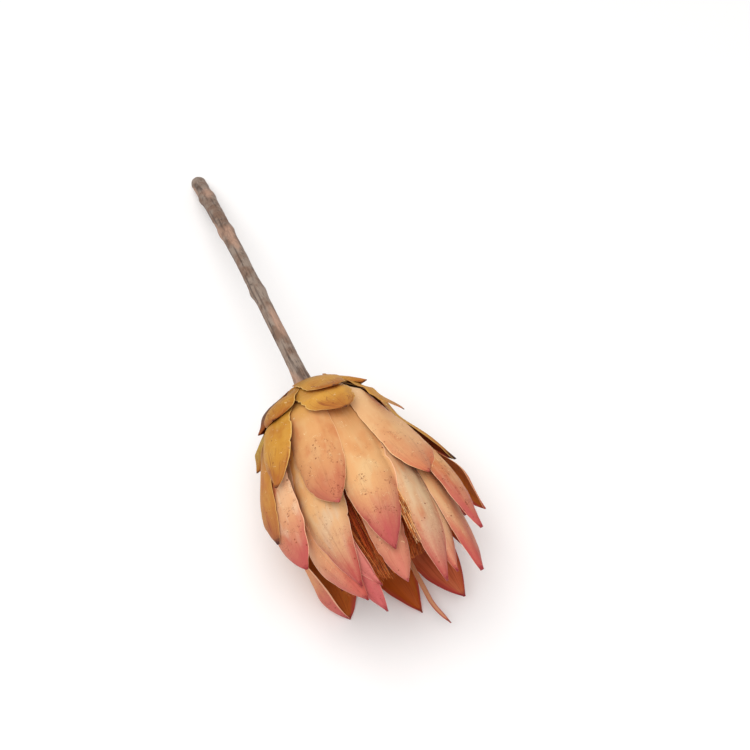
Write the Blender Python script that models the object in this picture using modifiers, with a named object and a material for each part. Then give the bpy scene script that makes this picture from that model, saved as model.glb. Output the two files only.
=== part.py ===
"""A dried sugarbush flower head on a length of cut stem, lying on a level surface.

Eight rows of bracts sit on a receptacle around a tuft of florets, each row one
step outside the row above it. The head lies along -Y, nodding a little, and the
stem runs back along +Y and bends down until its cut end reaches the surface.
Metres, +Z up. The origin is the middle of the whole flower's footprint.
"""

import math
from collections import namedtuple

import bmesh
import bpy
import numpy as np
from mathutils import Vector

MM = 0.001

# The head as a whole
HEAD_NOD = 4.0                # degrees that the head's axis points below the horizontal
CLEARANCE = 0.3 * MM          # between pieces that touch
TOP_SEAT = 15.0 * MM          # height of the innermost row's seat above the head's base
SEAT_STEP = 1.9 * MM          # from one row's seat down to the next
ROW_PITCH = 1.6 * MM          # from one row of bracts out to the next
SHEET = 0.45 * MM             # thickness of a bract
TIP_WIDTH = 0.6 * MM          # width of the point of a bract
TURNED_STEPS = 32             # facets around the receptacle and the florets

# Inner face of the innermost bracts: (height above the head's base, radius) in mm
INNER_FORM = (
    (0, 4.2), (1.2, 6.7), (3.5, 9.3), (7, 11.3), (12, 12.4), (17, 13.6), (25, 16.2),
    (35, 19.4), (45, 21.8), (55, 23.3), (65, 24.0), (75, 24.2), (85, 24.0), (105, 23.0),
)
DOME = ((17, 11.6), (22, 9.2), (26, 6.0), (28, 2.5), (28.6, 0))      # top of the receptacle
TUFT = ((19, 12.4), (27, 13.6), (38, 14.2), (50, 13.2), (60, 10.8), (68, 7.0), (72, 2.8), (73, 0))

# Cells along and across the sheet of each bract, closer together towards its foot
ALONG, ACROSS = 8, 4
CROWDING = 1.4

# Stem
STEM_END_SLOPE = -36.0        # degrees that the stem points below the horizontal at its cut
STEM_SWAY = 5.0 * MM          # sideways drift of the cut end
STEM_POINTS = 22
STEM_NECK = 3.4 * MM          # radius under the head
STEM_SHANK = 2.5 * MM         # radius of the plain stem
STEM_BUTT = 2.9 * MM          # radius at the cut
STEM_NODES = (0.34, 0.63, 0.86)     # places of the swollen leaf scars along the stem

# rank: steps out from the innermost row; base: width of the foot as a share of the
# full width; widest: where a bract is widest, as a share of its length; taper: 1 for a
# straight-sided point, more for a blunt one; free: share of the length that hugs the
# head before the bract flares; flare: how far the tip stands out (mm)
Row = namedtuple("Row", "rank base widest taper free flare colour bracts")

# turn: place around the head from its top (degrees); reach: height of the tip above the
# head's base (mm); width (mm); flare: of its own where it differs from the row (mm);
# lean: how far the tip swings around the head (degrees); roll: how far one edge of the
# tip stands out and the other tucks in (mm)
Bract = namedtuple("Bract", "turn reach width flare lean roll", defaults=(None, 0, 0))

OCHRE = (0.55, 0.30, 0.06)
APRICOT = (0.80, 0.42, 0.18)
IVORY = (0.74, 0.45, 0.25)
ROSE = (0.66, 0.28, 0.17)
RUST = (0.27, 0.08, 0.02)
BARK = (0.14, 0.08, 0.05)

ROWS = {
    "scale_basal": Row(7, 0.55, 0.50, 2.4, 0.3, 0.5, OCHRE, (
        Bract(1, 18, 13.5), Bract(-62, 15.5, 13), Bract(66, 13.5, 13), Bract(138, 14, 14),
        Bract(-138, 14, 14),
    )),
    "scale_outer": Row(6, 0.50, 0.52, 2.4, 0.3, 1.0, OCHRE, (
        Bract(-1, 25, 18, lean=5), Bract(53, 30, 12, flare=2.5, lean=-10), Bract(104, 24, 15),
        Bract(154, 23, 15), Bract(-152, 23, 15), Bract(-100, 20.5, 13, flare=1.5),
        Bract(-50, 18, 13.5, lean=4),
    )),
    "scale_inner": Row(5, 0.55, 0.52, 1.9, 0.3, 2.0, OCHRE, (
        Bract(-51, 37, 12.5, flare=2.5, lean=-7), Bract(-92, 50, 14.5, flare=1.4, lean=16, roll=-2.5),
        Bract(-134, 36, 14), Bract(-176, 38, 14), Bract(142, 40, 14),
        Bract(98, 43, 12, flare=4.5, lean=-6),
    )),
    "bract_short": Row(4, 0.55, 0.54, 2.0, 0.3, 2.5, APRICOT, (
        Bract(-18, 53, 15.5, flare=1.5, lean=-4), Bract(38, 54, 17.5, flare=2.0, lean=-4),
        Bract(92, 62.5, 14, flare=5.0), Bract(131, 50, 13.5), Bract(169, 50, 13.5),
        Bract(-154, 48, 13.5), Bract(-116, 42, 13.5, flare=1.0), Bract(-76, 44, 14, flare=0.5),
    )),
    "bract_mid": Row(3, 0.50, 0.58, 1.6, 0.4, 3.0, APRICOT, (
        Bract(2, 74, 17, flare=1.5, lean=-7), Bract(-74, 65, 18.5, flare=4.2, lean=17, roll=-1.5),
        Bract(50, 75, 16.5, flare=5.0, roll=1.6), Bract(98, 60, 15, flare=2.5),
        Bract(138, 66, 15), Bract(177, 64, 14, flare=0.5),
        Bract(-138, 70, 18.5, flare=4.2, lean=-16), Bract(-106, 46, 8.5, flare=0.5),
    )),
    "bract_long": Row(2, 0.45, 0.58, 1.6, 0.5, 2.5, IVORY, (
        Bract(-38, 78.5, 16, flare=1.5, lean=5), Bract(21, 88.5, 11.5, flare=2.0, lean=-6),
        Bract(48, 87.5, 11.5, flare=2.0, lean=-7), Bract(80, 64, 14, flare=1.0),
        Bract(124, 80.5, 14, flare=3.0, lean=11), Bract(173, 77.5, 16.5, flare=3.0, lean=-8),
        Bract(-150, 62, 14, flare=0.5), Bract(-113, 52, 13, flare=-1.0),
        Bract(-76, 52, 13, flare=-1.0),
    )),
    "bract_inner": Row(1, 0.40, 0.60, 1.5, 0.6, 1.0, ROSE, (
        Bract(-38, 82.5, 12, lean=3), Bract(0, 83.5, 13, lean=-6), Bract(34, 85.5, 11, lean=-5),
        Bract(66, 74, 12), Bract(100, 74, 13), Bract(140, 74, 14), Bract(-178, 68, 14),
        Bract(-138, 58, 13, flare=-1.0), Bract(-98, 52, 13, flare=-2.0),
    )),
    "bract_strap": Row(0, 0.50, 0.60, 1.6, 0.6, 0.0, ROSE, (
        Bract(-36, 87.5, 6, lean=8), Bract(-15, 80.5, 5.5, lean=-6), Bract(60, 74, 8),
        Bract(147, 86.5, 4.5, flare=2.0),
    )),
}


def smooth(profile, height):
    """Radius at a height on the monotone cubic through a profile, all in metres."""
    heights, radii = (np.array(values, float) * MM for values in zip(*profile))
    slopes = np.diff(radii) / np.diff(heights)
    tangents = np.concatenate(([slopes[0]], np.zeros(len(slopes) - 1), [slopes[-1]]))
    for i, (before, after) in enumerate(zip(slopes, slopes[1:]), 1):
        if before * after > 0:
            tangents[i] = 2 * before * after / (before + after)
    height = min(max(height, heights[0]), heights[-1])
    i = min(int(np.searchsorted(heights, height, side="right")) - 1, len(slopes) - 1)
    span = heights[i + 1] - heights[i]
    s = (height - heights[i]) / span
    return float(
        (2 * s**3 - 3 * s**2 + 1) * radii[i] + (s**3 - 2 * s**2 + s) * span * tangents[i]
        + (3 * s**2 - 2 * s**3) * radii[i + 1] + (s**3 - s**2) * span * tangents[i + 1]
    )


def seat_height(rank):
    return TOP_SEAT - rank * SEAT_STEP


def row_radius(rank, height):
    """Middle of a row's sheet: it climbs one pitch for each row that it passes under."""
    climbed = min(max((height - seat_height(rank)) / SEAT_STEP, 0), rank)
    return smooth(INNER_FORM, height) + SHEET / 2 + ROW_PITCH * climbed


def outline(row, along):
    """Half-width of a bract as a share of its widest half-width."""
    if along < row.widest:
        return row.base + (1 - row.base) * math.sin(math.pi / 2 * along / row.widest)
    return 1 - ((along - row.widest) / (1 - row.widest)) ** row.taper


def bract_point(row, bract, across, along):
    """Point of a bract's sheet in the head's frame, across from -1 to 1, along from 0 to 1."""
    flare = (row.flare if bract.flare is None else bract.flare) * MM
    half_width = bract.width * MM / 2
    offset = across * max(half_width * outline(row, along), TIP_WIDTH / 2)
    seat = seat_height(row.rank)
    height = seat + (bract.reach * MM - seat) * along
    freed = max((along - row.free) / (1 - row.free), 0)
    radius = row_radius(row.rank, height) + flare * freed**1.6
    angle = math.radians(bract.turn + bract.lean * along**1.5) + offset / radius
    radius += bract.roll * MM * freed * offset / half_width
    return Vector((radius * math.sin(angle), radius * math.cos(angle), height))


def finish(obj, colour, roughness):
    """Give a piece a plain material of its own."""
    material = bpy.data.materials.new(obj.name)
    material.use_nodes = True
    shader = material.node_tree.nodes["Principled BSDF"]
    shader.inputs["Base Color"].default_value = (*colour, 1)
    shader.inputs["Roughness"].default_value = roughness
    shader.inputs["Metallic"].default_value = 0
    obj.data.materials.append(material)


def add_piece(name, data, collection, parent):
    obj = bpy.data.objects.new(name, data)
    collection.objects.link(obj)
    obj.parent = parent
    return obj


def add_bract(name, row, bract, collection, head):
    """A curved sheet shaped from a grid and thickened."""
    mesh = bpy.data.meshes.new(name)
    sheet = bmesh.new()
    bmesh.ops.create_grid(sheet, x_segments=ACROSS, y_segments=ALONG, size=1)
    for vertex in sheet.verts:
        along = max((vertex.co.y + 1) / 2, 0) ** CROWDING
        vertex.co = bract_point(row, bract, vertex.co.x, along)
    sheet.to_mesh(mesh)
    sheet.free()
    mesh.shade_smooth()
    obj = add_piece(name, mesh, collection, head)
    thicken = obj.modifiers.new("thickness", "SOLIDIFY")
    thicken.thickness = SHEET
    thicken.offset = 0
    finish(obj, row.colour, 0.45)
    return obj


def add_turned(name, profile, colour, roughness, collection, head):
    """A solid turned about the head's axis, from (height, radius) points, top to bottom."""
    mesh = bpy.data.meshes.new(name)
    points = [(radius, 0, height) for height, radius in profile]
    mesh.from_pydata(points, [(i, i + 1) for i in range(len(points) - 1)], [])
    obj = add_piece(name, mesh, collection, head)
    turn = obj.modifiers.new("turn", "SCREW")
    turn.steps = turn.render_steps = TURNED_STEPS
    turn.use_merge_vertices = True
    turn.merge_threshold = 0.00005
    turn.use_smooth_shade = True
    finish(obj, colour, roughness)
    return obj


def add_receptacle(collection, head):
    """The woody cone that every bract and floret grows from."""
    dome = [(height * MM, radius * MM) for height, radius in reversed(DOME)]
    flank_heights = (15, 12, 9, 7, 5, 3.5, 2.3, 1.2, 0.5, 0)
    flank = [(h * MM, smooth(INNER_FORM, h * MM) - CLEARANCE) for h in flank_heights]
    return add_turned("receptacle", dome + flank + [(0, 0)], RUST, 0.8, collection, head)


def add_florets(collection, head):
    """The closed tuft of florets, seated over the dome of the receptacle."""
    outside = [(height * MM, radius * MM) for height, radius in reversed(TUFT)]
    underside = [(h * MM + CLEARANCE, r * MM + CLEARANCE) for h, r in DOME[:-1]]
    centre = (DOME[-1][0] * MM + CLEARANCE, 0)
    return add_turned("florets", outside + underside + [centre], RUST, 0.9, collection, head)


def stem_radius(share):
    """Radius along the stem: a neck, a slim shank with swollen scars, and a stouter butt."""
    neck = (STEM_NECK - STEM_SHANK) * math.exp(-share / 0.05)
    butt = (STEM_BUTT - STEM_SHANK) * share**2
    scars = sum(math.exp(-((share - node) / 0.022) ** 2) for node in STEM_NODES)
    return STEM_SHANK + neck + butt + 0.45 * MM * scars


def stem_route(floor):
    """Points of the stem, from its neck down an even bend to a cut end on the floor."""
    start, end = math.radians(HEAD_NOD), math.radians(STEM_END_SLOPE)
    drop = floor + stem_radius(1) * math.cos(end)
    length = drop * (end - start) / (math.cos(start) - math.cos(end))
    points = []
    for i in range(STEM_POINTS):
        share = i / (STEM_POINTS - 1)
        slope = start + (end - start) * share
        bend = length / (end - start)
        back = bend * (math.sin(slope) - math.sin(start))
        rise = bend * (math.cos(start) - math.cos(slope))
        points.append(Vector((STEM_SWAY * share**2, CLEARANCE + back, rise)))
    return points


def add_stem(floor, collection, flower):
    """A round bevelled curve with closed ends."""
    curve = bpy.data.curves.new("stem", "CURVE")
    curve.dimensions = "3D"
    curve.bevel_depth = 1
    curve.bevel_resolution = 3
    curve.use_fill_caps = True
    spline = curve.splines.new("POLY")
    spline.points.add(STEM_POINTS - 1)
    for i, (point, place) in enumerate(zip(spline.points, stem_route(floor))):
        point.co = (*place, 1)
        point.radius = stem_radius(i / (STEM_POINTS - 1))
    stem = add_piece("stem", curve, collection, flower)
    finish(stem, BARK, 0.85)
    return stem


def corners(objects):
    """Lowest and highest corner of the finished shapes, in the world."""
    graph = bpy.context.evaluated_depsgraph_get()
    points = []
    for obj in objects:
        solid = obj.evaluated_get(graph)
        mesh = solid.to_mesh()
        points.extend(solid.matrix_world @ vertex.co for vertex in mesh.vertices)
        solid.to_mesh_clear()
    points = np.array(points)
    return points.min(axis=0), points.max(axis=0)


def build():
    for obj in list(bpy.data.objects):
        bpy.data.objects.remove(obj)
    collection = bpy.data.collections.new("sugarbush")
    bpy.context.scene.collection.children.link(collection)

    flower = add_piece("flower", None, collection, None)
    head = add_piece("head", None, collection, flower)
    head.rotation_euler.x = math.radians(90 + HEAD_NOD)

    pieces = [add_receptacle(collection, head), add_florets(collection, head)]
    for name, row in ROWS.items():
        for number, bract in enumerate(row.bracts, 1):
            pieces.append(add_bract(f"{name}_{number}", row, bract, collection, head))
    bpy.context.view_layer.update()
    floor = corners(pieces)[0][2]

    pieces.append(add_stem(floor, collection, flower))
    bpy.context.view_layer.update()
    low, high = corners(pieces)
    flower.location = (-(low[0] + high[0]) / 2, -(low[1] + high[1]) / 2, -low[2])


build()
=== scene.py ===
# A dried sugarbush flower head on its cut stem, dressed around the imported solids.
import math

import bpy
import numpy as np
from mathutils import Matrix, Vector


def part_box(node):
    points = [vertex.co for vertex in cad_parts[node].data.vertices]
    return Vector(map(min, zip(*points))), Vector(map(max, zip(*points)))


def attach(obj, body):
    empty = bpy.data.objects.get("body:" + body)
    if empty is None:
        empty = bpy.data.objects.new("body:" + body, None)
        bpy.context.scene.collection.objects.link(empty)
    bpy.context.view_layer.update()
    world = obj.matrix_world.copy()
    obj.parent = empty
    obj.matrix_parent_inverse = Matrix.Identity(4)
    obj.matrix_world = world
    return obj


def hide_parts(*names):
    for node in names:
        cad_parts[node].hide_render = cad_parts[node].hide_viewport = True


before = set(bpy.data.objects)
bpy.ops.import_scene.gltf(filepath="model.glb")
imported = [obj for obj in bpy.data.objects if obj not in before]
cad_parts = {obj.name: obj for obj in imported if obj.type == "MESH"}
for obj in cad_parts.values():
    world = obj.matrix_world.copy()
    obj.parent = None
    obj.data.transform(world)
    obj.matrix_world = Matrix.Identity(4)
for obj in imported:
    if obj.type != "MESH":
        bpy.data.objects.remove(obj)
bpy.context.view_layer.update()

mm = 0.001
scene = bpy.context.scene


def linear(colour):
    # a colour as a screen shows it, 0 to 255, turned into linear light
    shares = (c / 255 for c in colour)
    return (*(c / 12.92 if c <= 0.04045 else ((c + 0.055) / 1.055) ** 2.4 for c in shares), 1)


class Value:
    # a shader socket that can be used in sums
    def __init__(self, paint, socket):
        self.paint, self.socket = paint, socket

    def __add__(self, other):
        return self.paint.maths("ADD", self, other)

    def __sub__(self, other):
        return self.paint.maths("SUBTRACT", self, other)

    def __rsub__(self, other):
        return self.paint.maths("SUBTRACT", other, self)

    def __mul__(self, other):
        return self.paint.maths("MULTIPLY", self, other)

    def __pow__(self, other):
        return self.paint.maths("POWER", self, other)

    def __lt__(self, other):
        return self.paint.maths("LESS_THAN", self, other)

    def __abs__(self):
        return self.paint.maths("ABSOLUTE", self, 0)

    __radd__ = __add__
    __rmul__ = __mul__


class Paint:
    # the nodes of one material
    def __init__(self, name, gloss=0.5):
        self.material = bpy.data.materials.new(name)
        self.material.use_nodes = True
        self.tree = self.material.node_tree
        self.shader = self.tree.nodes["Principled BSDF"]
        self.shader.inputs["Specular IOR Level"].default_value = gloss

    def feed(self, socket, value):
        if isinstance(value, Value):
            self.tree.links.new(value.socket, socket)
        else:
            socket.default_value = value

    def node(self, kind, settings=None, inputs=None, output=0):
        made = self.tree.nodes.new("ShaderNode" + kind)
        for key, value in (settings or {}).items():
            setattr(made, key, value)
        for key, value in (inputs or {}).items():
            self.feed(made.inputs[key], value)
        return Value(self, made.outputs[output])

    def maths(self, operation, first, second):
        return self.node("Math", {"operation": operation}, {0: first, 1: second})

    def mark(self, name):
        return self.node("Attribute", {"attribute_name": name}, output="Fac")

    def place(self, seed):
        # millimetres in the object's own space, moved on so that each piece differs
        here = self.node("TexCoord", output="Object")
        big = self.node("VectorMath", {"operation": "SCALE"}, {0: here, "Scale": 1000.0})
        moved = (seed * 37.1, seed * 11.3, seed * 5.7)
        return self.node("VectorMath", {"operation": "ADD"}, {0: big, 1: moved})

    def spot(self, x, y, z):
        return self.node("CombineXYZ", inputs={0: x, 1: y, 2: z})

    def noise(self, where, scale, detail=2.0, roughness=0.5, distortion=0.0):
        return self.node("TexNoise", inputs={
            "Vector": where, "Scale": scale, "Detail": detail, "Roughness": roughness,
            "Distortion": distortion})

    def fade(self, value, low, high):
        return self.node("MapRange", {"interpolation_type": "SMOOTHSTEP"}, {
            "Value": value, "From Min": low, "From Max": high})

    def mix(self, factor, first, second):
        first, second = (c if isinstance(c, Value) else linear(c) for c in (first, second))
        return self.node("Mix", {"data_type": "RGBA"}, {0: factor, 6: first, 7: second}, 2)

    def dots(self, where, scale, size, share):
        # round dots: each cell of a Voronoi texture holds one or none
        cell = {"Vector": where, "Scale": scale}
        away = self.node("TexVoronoi", inputs=cell, output="Distance")
        chance = self.node("TexVoronoi", inputs=cell, output="Color")
        pick = self.node("SeparateColor", inputs={0: chance}, output=0)
        spread = self.node("SeparateColor", inputs={0: chance}, output=1)
        reach = size * (0.35 + 0.65 * spread)
        return self.fade(reach - away, 0.0, size * 0.3) * (pick < share)

    def finish(self, colour, roughness, height, bump):
        self.feed(self.shader.inputs["Base Color"], colour)
        self.feed(self.shader.inputs["Roughness"], roughness)
        raised = self.node("Bump", inputs={"Strength": bump, "Distance": 0.2 * mm, "Height": height})
        self.feed(self.shader.inputs["Normal"], raised)
        return self.material


# the head's form, the same as in the solids
head = {
    "nod": 4.0,        # degrees that the axis points below level
    "topSeat": 15.0,   # mm from the head's base up to the seat of the innermost row
    "seatStep": 1.9,   # mm from one row's seat down to the next
    "rowPitch": 1.6,   # mm from one row out to the next
    "sheet": 0.45,     # mm thickness of the solid sheets
    "clearance": 0.3,  # mm that the solids keep from the receptacle
    # inner face of the innermost bracts: height above the base, radius
    "innerForm": ((0, 4.2), (1.2, 6.7), (3.5, 9.3), (7, 11.3), (12, 12.4), (17, 13.6), (25, 16.2),
                  (35, 19.4), (45, 21.8), (55, 23.3), (65, 24.0), (75, 24.2), (85, 24.0), (105, 23.0)),
    "dome": ((17, 11.6), (22, 9.2), (26, 6.0), (28, 2.5), (28.6, 0)),
    "flank": (15, 12, 9, 7, 5, 3.5, 2.3, 1.2, 0.5, 0),
}


def smoothCurve(points, x):
    # monotone cubic through a few points
    px, py = (np.array(values, float) for values in zip(*points))
    slopes = np.diff(py) / np.diff(px)
    before, after = slopes[:-1], slopes[1:]
    level = before * after <= 0
    middle = np.where(level, 0, 2 * before * after / np.where(level, 1, before + after))
    tangents = np.concatenate(([slopes[0]], middle, [slopes[-1]]))
    x = np.clip(x, px[0], px[-1])
    i = np.clip(np.searchsorted(px, x, side="right") - 1, 0, len(slopes) - 1)
    span = px[i + 1] - px[i]
    s = (x - px[i]) / span
    return ((2 * s**3 - 3 * s**2 + 1) * py[i] + (s**3 - 2 * s**2 + s) * span * tangents[i]
            + (3 * s**2 - 2 * s**3) * py[i + 1] + (s**3 - s**2) * span * tangents[i + 1])


def ease(x, low, high):
    s = np.clip((x - low) / (high - low), 0, 1)
    return s * s * (3 - 2 * s)


def waves(chance, count, *axes):
    # a smooth random field made of a few crossing waves, about -1 to 1
    total = 0
    for _ in range(count):
        pace = chance.normal(size=len(axes))
        total = total + np.sin(sum(p * a for p, a in zip(pace, axes)) + chance.uniform(0, 2 * math.pi))
    return total / math.sqrt(count)


def nodded(points):
    # from the head's own frame (axis +Z, top +Y, mm) to the way the head lies, still at the origin
    turn = math.radians(90 + head["nod"])
    x, y, z = np.moveaxis(np.asarray(points, float), -1, 0)
    lying = (x, y * math.cos(turn) - z * math.sin(turn), y * math.sin(turn) + z * math.cos(turn))
    return np.stack(lying, -1) * mm


def findBase():
    # the head's base is where the receptacle's own rings fit the box of its solid
    rings = [(h, r) for h, r in reversed(head["dome"])]
    rings += [(h, smoothCurve(head["innerForm"], h) - head["clearance"]) for h in head["flank"]]
    ends = np.array([nodded((0, side * r, h)) for h, r in rings for side in (-1, 1)])
    low, high = (np.array(corner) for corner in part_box("receptacle"))
    return (low + high) / 2 - (ends.min(axis=0) + ends.max(axis=0)) / 2


base = findBase()


def placed(points):
    return nodded(points) + base


def around(radius, turn, height):
    # points around the head's axis
    return np.stack((radius * np.sin(turn), radius * np.cos(turn), height), -1)


def makePiece(name, points, faces, marks, material, nodes, sharp=50):
    mesh = bpy.data.meshes.new(name)
    mesh.from_pydata(points.reshape(-1, 3).tolist(), [], faces)
    for key, values in marks.items():
        attribute = mesh.attributes.new(key, "FLOAT", "POINT")
        attribute.data.foreach_set("value", np.ravel(values).astype(np.float32))
    mesh.shade_smooth()
    mesh.set_sharp_from_angle(angle=math.radians(sharp))
    mesh.materials.append(material)
    piece = bpy.data.objects.new(name, mesh)
    scene.collection.objects.link(piece)
    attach(piece, "root")
    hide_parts(*nodes)
    return piece


def gridFaces(rows, columns, start=0, closed=False, flip=False):
    # quads of a grid of points, rows by columns; closed joins the last column to the first
    i, j = np.meshgrid(np.arange(rows - 1), np.arange(columns if closed else columns - 1), indexing="ij")
    k = (j + 1) % columns
    quads = np.stack((i * columns + j, (i + 1) * columns + j, (i + 1) * columns + k, i * columns + k), -1)
    quads = quads.reshape(-1, 4) + start
    return (quads[:, ::-1] if flip else quads).tolist()


def tubeFaces(rings, sides, flip=False):
    # a tube of rings with a face at either end
    first, last = list(range(sides))[::-1], list(range((rings - 1) * sides, rings * sides))
    ends = [first[::-1], last[::-1]] if flip else [first, last]
    return gridFaces(rings, sides, closed=True, flip=flip) + ends


def sheetFaces(rows, columns):
    # outer and inner face of a sheet, and the rim that joins them
    count = rows * columns
    faces = gridFaces(rows, columns) + gridFaces(rows, columns, start=count, flip=True)
    index = np.arange(count).reshape(rows, columns)
    border = np.concatenate((index[0, :-1], index[:-1, -1], index[-1, :0:-1], index[:0:-1, 0]))
    following = np.roll(border, -1)
    faces += np.stack((border, following, following + count, border + count), -1).tolist()
    return faces


# the kinds of bracts, from the stem in. rank counts the rings out from the middle, base is the
# half-width at the foot and widest the place of the full width, as shares; a high taper gives a
# blunt tip; past free the bract leaves the head, and flare is how many mm its tip then stands out
kinds = {
    "scale_basal": dict(rank=7, base=0.55, widest=0.50, taper=2.4, free=0.3, flare=0.5, look="scale"),
    "scale_outer": dict(rank=6, base=0.50, widest=0.52, taper=2.4, free=0.3, flare=1.0, look="scale"),
    "scale_inner": dict(rank=5, base=0.55, widest=0.52, taper=1.9, free=0.3, flare=2.0, look="scale"),
    "bract_short": dict(rank=4, base=0.55, widest=0.54, taper=2.0, free=0.3, flare=2.5, look="short"),
    "bract_mid": dict(rank=3, base=0.50, widest=0.58, taper=1.6, free=0.4, flare=3.0, look="mid"),
    "bract_long": dict(rank=2, base=0.45, widest=0.58, taper=1.6, free=0.5, flare=2.5, look="long"),
    "bract_inner": dict(rank=1, base=0.40, widest=0.60, taper=1.5, free=0.6, flare=1.0, look="inner"),
    "bract_strap": dict(rank=0, base=0.50, widest=0.60, taper=1.6, free=0.6, flare=0.0, look="inner"),
}

# foot, body, blush and point are the colours from the foot on, warm and cream the patches between;
# footTo, blushFrom, blushTo and pointFrom say where they change, as shares of the length
# the foot colours are partly the bracts' own ochre base and partly painted shade: warm, saturated orange like
# bounce light in the shadow where the outer bracts overlap them
looks = {
    "scale": dict(slot="ochre_scale", foot=(174, 124, 38), body=(200, 142, 54), warm=(178, 108, 38),
                  cream=(206, 154, 74), blush=(160, 84, 34), point=(92, 50, 32), blushFrom=0.55,
                  blushTo=1.2, pointFrom=0.96, speckle=0.4, splits=0.55, rim=(232, 190, 112)),
    "short": dict(slot="apricot_bract", foot=(216, 148, 78), body=(220, 156, 92), warm=(204, 120, 64),
                  cream=(228, 182, 126), blush=(194, 98, 66), point=(156, 64, 58), footTo=0.35,
                  blushFrom=0.5, blushTo=1.15, pointFrom=0.96, speckle=0.9, rim=(242, 196, 144)),
    "mid": dict(slot="apricot_bract", foot=(200, 122, 54), body=(218, 158, 100), warm=(206, 124, 70),
                cream=(228, 190, 138), blush=(182, 82, 78), point=(150, 52, 56), blushFrom=0.52,
                blushTo=0.98, speckle=1, rim=(244, 192, 152)),
    "long": dict(slot="ivory_bract", foot=(210, 130, 44), body=(218, 172, 126), warm=(208, 134, 82),
                 cream=(216, 186, 152), blush=(180, 78, 72), footTo=0.55, blushFrom=0.6, blushTo=1.02,
                 rim=(242, 192, 158)),
    "inner": dict(slot="rose_bract", foot=(190, 106, 40), body=(214, 156, 112), warm=(204, 122, 78),
                  cream=(216, 176, 138), blush=(196, 94, 82), blushFrom=0.52, blushTo=1,
                  rim=(236, 178, 148)),
}

# what a bract does unless its own entry says otherwise; a pair is for its left and its right side
plain = {
    "lean": 0,               # degrees around the axis that its tip moves over
    "roll": 0,               # mm that its right margin stands higher than its middle
    "sides": (1, 1),         # times the half-width
    "curl": (0.25, 0.25), "curlFrom": 0.3,  # radians that the margins roll in, and from where
    "hook": 0, "hookFrom": 0.6,  # mm that its tip bends sideways, and from where
    "bulge": (0, 0.5, 0.3),  # mm that it swells, the middle of that and its spread
    "press": (1, 1),         # share of the way that its margins come down on what is below
    "hug": 0.5,              # mm that the margins bend in
    "nicks": 3,              # in each margin
}

# what all bracts share, where their look doesn't say otherwise
common = {
    "cell": 0.8,    # mm between points along a bract
    "cells": 26,    # across a bract
    "thickness": (0.5, 0.26),  # mm at the foot and in the free part
    "tip": 0.14,    # mm of the tip's half-width
    "pull": 1.8,    # mm that the margins may come down to lie on what is below
    "creases": 2, "crease": 0.22, "creaseWidth": 0.12,  # how many, mm of the deepest, share of the half-width
    "bow": 0.35,    # mm of slow warping
    "ribs": 0.022,  # mm of lengthwise ribs
    "frill": 0.16,  # mm of waviness in the margins
    "within": (190, 90, 28), "withinLight": (202, 116, 44), "withinDark": (158, 64, 18),
    "withinTip": (188, 68, 70),
    "point": (148, 50, 56), "speck": (132, 60, 34), "scratch": (246, 214, 164),
    "footTo": 0.5, "pointFrom": 0.965, "speckle": 0.5, "splits": 0.15,
}

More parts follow.
